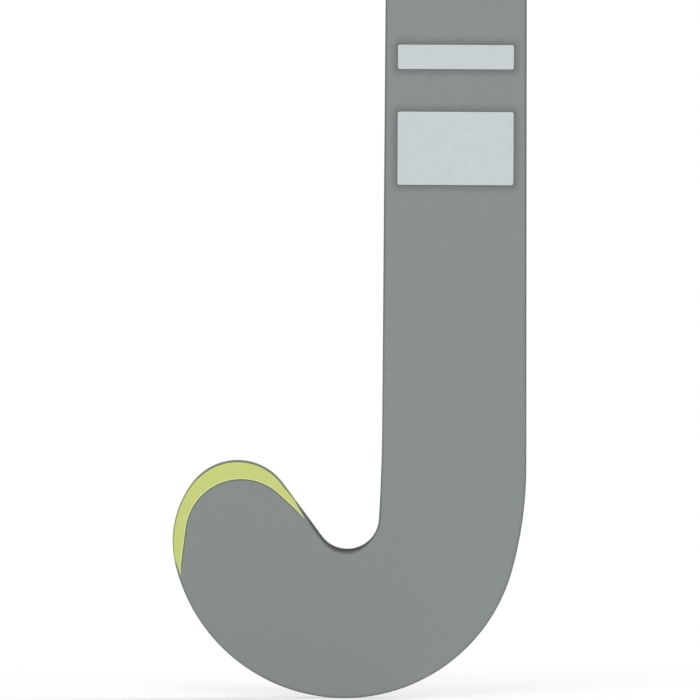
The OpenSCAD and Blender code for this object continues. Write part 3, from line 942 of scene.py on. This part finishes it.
def sampled(nodes, given, side):
    """Stand-off and height of one point of the strip's section, read from the profile."""
    profile = nodes.add("GeometryNodeObjectInfo", {"Object": given["Profile"]}).outputs["Geometry"]
    sample = nodes.add("GeometryNodeSampleIndex", {"Geometry": profile, "Index": side},
                       data_type="FLOAT_VECTOR", domain="POINT")
    value = next(s for s in sample.inputs if s.name == "Value" and s.enabled)
    nodes.give(value, nodes.add("GeometryNodeInputPosition").outputs[0])
    return nodes.split(next(s for s in sample.outputs if s.enabled))


def strip_form(nodes, given):
    """A strip wound up the handle, each turn's section read from a profile. What lies past an end
    is pressed flat there, so the section stays one closed loop."""
    grid = nodes.add("GeometryNodeMeshGrid", {
        "Size X": 1.0, "Size Y": 1.0, "Vertices X": given["Steps"], "Vertices Y": given["Sides"]})
    place = nodes.split(nodes.add("GeometryNodeInputPosition").outputs[0])
    along = nodes.plus(place[0], 0.5)
    turns = nodes.minus(given["Last turn"], given["First turn"])
    turn = nodes.scaled(along, turns, given["First turn"])
    around = nodes.times(nodes.plus(place[1], 0.5), nodes.minus(given["Sides"], 1.0))
    found = sampled(nodes, given, nodes.math("ROUND", around))
    to_end = nodes.times(nodes.minus(1.0, along), turns)
    from_end = nodes.math("MINIMUM", to_end, nodes.times(along, turns))
    tail = nodes.math("MINIMUM", nodes.math("DIVIDE", from_end, given["Tail"]), 1.0)
    stand = nodes.times(found[0], nodes.math("MAXIMUM", tail, THIN_END))
    height = nodes.plus(climb(nodes, given, turn), found[1])
    for operation, limit in (("MAXIMUM", given["Low"]), ("MINIMUM", given["High"])):
        pressed = nodes.scaled(nodes.minus(height, limit), PRESSED_SHARE, limit)
        height = nodes.math(operation, height, pressed)
    wound, _ = handle_place(nodes, given, turn, height, stand)
    moved = nodes.add("GeometryNodeSetPosition", {0: grid.outputs["Mesh"], "Position": wound})
    return nodes.add("GeometryNodeMergeByDistance", {
        0: moved.outputs[0], "Distance": MERGE_DISTANCE}).outputs[0]


def strip_profile():
    """Outer and inner side of the strip's section, as stand-offs and heights: a thin edge under a
    soft lip, a slightly crowned body and a tail that lies under the next turn."""
    under, body, lip, lap = 1.15, GRIP_THICKNESS + SEAT_GAP, 2.4, 3.0
    top = GRIP_PITCH
    outer = [(under, 0.05), (under + 0.45, 0.0), (lip - 0.35, 0.02), (lip - 0.1, 0.16),
             (lip, 0.45), (lip + 0.02, 1.0), (lip - 0.04, 2.0), (lip - 0.14, 3.2),
             (body + 0.04, 5.0), (body, 7.0), (body + 0.06, 10.0), (body + 0.08, 13.0),
             (body + 0.06, 16.0), (body, 19.0), (body - 0.02, 21.5), (body - 0.1, 23.2),
             (body - 0.3, 24.2), (body - 0.7, 24.75), (under - 0.12, top + 0.1),
             (under - 0.15, top + 1.2), (under - 0.2, top + lap - 0.4), (under - 0.5, top + lap)]
    inner = [(SEAT_GAP + 0.2, top + lap), (SEAT_GAP, top + lap - 0.3), (SEAT_GAP, 20.0),
             (SEAT_GAP, 12.0), (SEAT_GAP, lap + 3.0), (SEAT_GAP + 0.3, lap + 1.8),
             (under - 0.2, lap + 0.5), (under - 0.02, lap - 0.2), (under, 1.5), (under, 0.05)]
    return outer, inner


def strip_stand(turn, z):
    """Stand-off of the wound strip at a number of turns and a height above its foot."""
    height = (z - (turn - 1) * GRIP_PITCH) % GRIP_PITCH
    outer = [point for point in strip_profile()[0] if point[1] < GRIP_PITCH]
    for (r, low), (next_r, high) in zip(outer, outer[1:]):
        if low <= height <= high:
            return mix(r, next_r, (height - low) / (high - low))
    return outer[-1][0]


def close_ends(piece):
    """Fills the end sections of a wound strip, and turns all its faces outwards."""
    form = bmesh.new()
    form.from_mesh(piece.data)
    bmesh.ops.holes_fill(form, edges=[edge for edge in form.edges if edge.is_boundary], sides=0)
    bmesh.ops.recalc_face_normals(form, faces=form.faces)
    form.to_mesh(piece.data)
    form.free()


def make_grip():
    """The cushioned strip wound up the handle."""
    points = [(r * MM, z * MM, 0.0) for side in strip_profile() for r, z in side]
    mesh = bpy.data.meshes.new("strip_section")
    mesh.from_pydata(points, [], [])
    section = scene_object("strip_section", mesh)
    values = dict(HANDLE_INPUTS, Steps=round((LAST_TURN - FIRST_TURN) * STEPS_IN_TURN),
                  Sides=len(points), Tail=END_TURN, Profile=section, Material=grip_skin)
    grip = grown("grip_winding", strip_form, values)
    bpy.data.objects.remove(section)
    close_ends(grip)
    finish_piece(grip, grip_skin, ["grip_wrap"])


def hole_form(nodes, given):
    """Rows of pin holes along the strip, each a small dished plug on the grip's surface, its
    near-black colour painted shade in place of the hole's depth.
    """
    points = nodes.add("GeometryNodePoints", {"Count": given["Count"]})
    index = nodes.add("GeometryNodeInputIndex").outputs[0]
    row = nodes.math("FLOOR", nodes.math("DIVIDE", index, given["Columns"]))
    column = nodes.math("MODULO", index, given["Columns"])
    stagger = nodes.times(nodes.math("MODULO", column, 2.0), 0.5)
    turn = nodes.scaled(nodes.plus(row, stagger), given["Step"], given["First turn"])
    up_strip = nodes.scaled(column, given["Spacing"], given["Edge"])
    height = nodes.plus(climb(nodes, given, turn), up_strip)
    position, angle = handle_place(nodes, given, turn, height, given["Stand"])
    way = nodes.join(nodes.times(nodes.math("COSINE", angle), given["Half depth"]),
                     nodes.times(nodes.math("SINE", angle), given["Half width"]))
    aim = nodes.add("FunctionNodeAlignRotationToVector", {"Vector": way}, axis="Z")
    inside = nodes.times(nodes.math("GREATER_THAN", height, given["Low"]),
                         nodes.math("LESS_THAN", height, given["High"]))
    placed = nodes.add("GeometryNodeSetPosition", {0: points.outputs[0], "Position": position})
    plug = nodes.add("GeometryNodeMeshCone", {
        "Vertices": 10, "Side Segments": 1, "Radius Top": given["Radius"],
        "Radius Bottom": nodes.times(given["Radius"], 1.25),
        "Depth": nodes.times(given["Radius"], 0.13)})
    return nodes.add("GeometryNodeInstanceOnPoints", {
        "Points": placed.outputs[0], "Selection": inside, "Instance": plug.outputs["Mesh"],
        "Rotation": aim.outputs[0]}).outputs[0]


def make_holes():
    """The grip's pin holes, none under the tape or just below the cap."""
    rows_in_turn, columns, spacing, under_cap, stand, radius = 20, 4, 5.0, 1.5, 0.03, 0.45
    values = dict(HANDLE_INPUTS, Columns=columns, Step=1 / rows_in_turn, Spacing=spacing * MM,
                  Count=round((LAST_TURN - FIRST_TURN) * rows_in_turn) * columns,
                  Edge=(spacing - TAPE_COVER) * MM, Radius=radius * MM, Material=hole_painted_shade,
                  Stand=(GRIP_THICKNESS + SEAT_GAP + stand) * MM)
    values["Low"] += TAPE_COVER * MM
    values["High"] -= under_cap * MM
    finish_piece(grown("grip_pin_holes", hole_form, values), hole_painted_shade)


# Tape and cap


def handle_point(angle, stand, z):
    """A place on the handle at an angle in degrees, a stand-off and a height."""
    x = (HANDLE_WIDTH / 2 + stand) * soft(cosine(angle), OVAL_POWER)
    y = (HANDLE_DEPTH / 2 + stand) * soft(sine(angle), OVAL_POWER)
    return space(x, y + face_y(z) + HANDLE_DEPTH / 2, z)


def tape_ring(angle, skin, wave):
    """One section of the tape, from the shaft up over the grip's end and back."""
    stretched = [-1.2, -0.8, -0.4, 0.0, 0.4, 0.8, 1.2]
    heights = [0.6, 1.6, 2.7, 3.8, 4.9, 6.0, 7.0, TAPE_COVER]
    stands = [max(strip_stand(angle / 360, z + more) for more in stretched) + SEAT_GAP
              for z in heights]
    path = [(SEAT_GAP, wave - TAPE_DROP), (SEAT_GAP + 0.5, -TAPE_CLIMB - 2),
            (SEAT_GAP + 1.1, -1.4), (stands[0] - 0.4, -0.4)]
    path += zip(stands, heights[:-1] + [TAPE_COVER + 0.5 * wave])
    path = [(stand, GRIP_FOOT + z) for stand, z in path]
    (foot_stand, foot), (top_stand, top) = path[0], path[-1]
    outer = [(foot_stand + skin * 0.6, foot - 0.02), (foot_stand + skin, foot + 0.25)]
    outer += [(r + skin, z) for r, z in path[1:-1]]
    outer += [(top_stand + skin, top - 0.25), (top_stand + skin * 0.6, top + 0.02)]
    return [handle_point(angle, r, z) for r, z in outer + path[::-1]]


def make_tape():
    """The finishing tape, tight over the grip's end, with its last lap's edge showing."""
    lap_start, lap_end, lap, lap_step, step = 20.0, 205.0, 0.16, 0.4, 3
    lap_angles = {lap_start, lap_start + lap_step, lap_end - lap_step, lap_end}
    rings = []
    for angle in sorted(lap_angles.union(range(0, 360, step))):
        skin = TAPE_THICKNESS * 0.7 + (lap if lap_start < angle < lap_end else 0.0)
        wave = 0.25 * sine(3 * angle + 40) + 0.12 * sine(7 * angle)
        rings.append(tape_ring(angle, skin, wave))
    lofted("grip_end_tape", rings[::-1], lime_vinyl, ["grip_lower_tape"], loop=True)


def make_cap():
    """The rubber butt cap: a stem in the handle, a rolled rim and a grooved low dome."""
    stem = -(SHELL_WALL + BOND_GAP)
    rim = SEAT_GAP + GRIP_THICKNESS + CAP_LIP
    seat = SHELL_TOP + BOND_GAP
    roof = seat + CAP_SIDE
    crown = -min(HANDLE_WIDTH, HANDLE_DEPTH) / 2 + 0.4
    profile = [(stem, SHELL_TOP - STEM_LENGTH + BOND_GAP), (stem, seat - 0.6),
               (stem + 0.15, seat), (rim - 0.5, seat), (rim - 0.15, seat + 0.12),
               (rim, seat + 0.45), (rim, seat + 1.0), (rim, seat + 1.9),
               (rim - 0.25, seat + 2.15), (rim - 0.25, seat + 2.45), (rim, seat + 2.7)]
    steps, dome_power = 28, 0.85
    for i in range(steps + 1):
        angle = 90 * i / steps
        out = cosine(angle) ** dome_power if i < steps else 0.0
        profile.append((mix(crown, rim, out), roof + (STICK_LENGTH - roof) * sine(angle)))
    groove, groove_depth, step = 22, 0.3, 4
    stand, z = profile[groove]
    profile[groove] = (stand, z - groove_depth)
    rings = [[handle_point(angle, r, z) for angle in range(0, 360, step)] for r, z in profile]
    lofted("butt_cap_dome", rings, cap_skin, ["butt_cap"])


def dress_inner_nodes():
    """Weave and foam for the pieces inside the shell."""
    looks = {carbon: ("toe_side_tube", "heel_side_tube", "face_plies", "back_plies",
                      "crook_patch"),
             aramid: ("heel_patch",), foam: ("head_core", "handle_plug")}
    for look, nodes in looks.items():
        for node in nodes:
            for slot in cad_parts[node].material_slots:
                slot.material = look


# Floor, light and camera


FOOT_Z = -GRIP_MIDDLE * MM
PIXEL = 0.32745 * MM
PHOTO_SIZE = 700
CAMERA_AWAY = 5.0
CAMERA_X = -34.27 * MM
CAMERA_RISE = 113.77 * MM
CAMERA_ROLL = 0.28
FAR_CLIP = 200.0
WORLD_LIGHT = 0.2
LIT_MIDDLE = Vector((0.0, 0.0, -0.35))
FLOOR_SIZE = 40.0
FLOOR_GLOW = 0.46
SHADOW_FADES_AT, SHADOW_GONE_AT = 0.35, 1.1
WHITE = (1.0,) * 4
FLOOR_COLOUR = (0.8, 0.8, 0.8, 1.0)


def seen_as(nodes, plain, shown):
    """The plain shader for light, and the shown one for the camera, gloss and glass."""
    path = nodes.add("ShaderNodeLightPath").outputs
    seen = nodes.math("MAXIMUM", path["Is Camera Ray"], path["Is Glossy Ray"])
    seen = nodes.math("MAXIMUM", seen, path["Is Transmission Ray"])
    return nodes.add("ShaderNodeMixShader", {0: seen, 1: plain, 2: shown}).outputs[0]


def floor_material():
    """A pale floor that is seen white, but for the soft shadow close by."""
    made = bpy.data.materials.new("pale_floor")
    made.use_nodes = True
    nodes = Nodes(made.node_tree)
    made.node_tree.nodes.remove(made.node_tree.nodes["Principled BSDF"])
    plain = nodes.add("ShaderNodeBsdfDiffuse", {"Color": FLOOR_COLOUR}).outputs[0]
    glow = nodes.add("ShaderNodeEmission", {"Color": WHITE, "Strength": FLOOR_GLOW}).outputs[0]
    near = nodes.add("ShaderNodeAddShader", {0: plain, 1: glow}).outputs[0]
    far = nodes.add("ShaderNodeEmission", {"Color": WHITE, "Strength": 1.0}).outputs[0]
    place = nodes.split(nodes.add("ShaderNodeTexCoord").outputs["Object"])
    flat = nodes.join(place[0], place[1])
    away = nodes.add("ShaderNodeVectorMath", {0: flat}, operation="LENGTH").outputs["Value"]
    share = nodes.ramp(away, SHADOW_FADES_AT, SHADOW_GONE_AT)
    shown = nodes.add("ShaderNodeMixShader", {0: share, 1: near, 2: far}).outputs[0]
    nodes.give(nodes.tree.nodes["Material Output"].inputs[0], seen_as(nodes, plain, shown))
    return made


def make_floor():
    mesh = bpy.data.meshes.new("floor")
    corners = [(-1, -1), (1, -1), (1, 1), (-1, 1)]
    mesh.from_pydata([(x * FLOOR_SIZE, y * FLOOR_SIZE, FOOT_Z) for x, y in corners], [],
                     [(0, 1, 2, 3)])
    mesh.materials.append(floor_material())
    floor = scene_object("floor", mesh)


def make_world():
    """Weak even light, seen as plain white."""
    world = bpy.data.worlds.new("white_studio")
    bpy.context.scene.world = world
    world.use_nodes = True
    nodes = Nodes(world.node_tree)
    back = world.node_tree.nodes["Background"]
    back.inputs["Color"].default_value = WHITE
    back.inputs["Strength"].default_value = WORLD_LIGHT
    white = nodes.add("ShaderNodeBackground", {"Color": WHITE, "Strength": 1.0}).outputs[0]
    surface = seen_as(nodes, back.outputs[0], white)
    nodes.give(nodes.tree.nodes["World Output"].inputs[0], surface)


def make_lights():
    """Three square softboxes turned towards the middle of the lower stick."""
    softboxes = [("front_softbox", (-0.3, -3.6, 0.3), 1.5, 83.0),
                 ("back_softbox", (2.0, 3.0, 1.0), 1.5, 92.0),
                 ("top_softbox", (0.2, 0.0, 3.2), 1.8, 12.0)]
    for name, place, size, power in softboxes:
        data = bpy.data.lights.new(name, "AREA")
        data.shape, data.size, data.energy = "SQUARE", size, power
        lamp = scene_object(name, data)
        lamp.location = place
        lamp.rotation_euler = (LIT_MIDDLE - Vector(place)).to_track_quat("-Z", "Y").to_euler()


def make_camera():
    """The photo's view, square on to the face and from far away."""
    data = bpy.data.cameras.new("camera")
    data.lens = data.sensor_width * CAMERA_AWAY / (PHOTO_SIZE * PIXEL)
    data.clip_end = FAR_CLIP
    camera = scene_object("camera", data)
    face = (face_y(CAMERA_RISE / MM) - ORIGIN_Y) * MM
    upright = Matrix.Rotation(math.radians(90), 4, "X")
    roll = Matrix.Rotation(math.radians(CAMERA_ROLL), 4, "Z")
    place = Matrix.Translation((CAMERA_X, face - CAMERA_AWAY, FOOT_Z + CAMERA_RISE))
    camera.matrix_world = place @ (upright @ roll)
    bpy.context.scene.camera = camera


make_camera()
shell_surface = make_shell()
make_accent()
make_band("wide_band", *WIDE_BAND, "shaft_band_wide")
make_band("narrow_band", *NARROW_BAND, "shaft_band_narrow")
make_grip()
make_holes()
make_tape()
make_cap()
dress_inner_nodes()
make_floor()
make_world()
make_lights()
bpy.context.scene.view_settings.view_transform = "Standard"
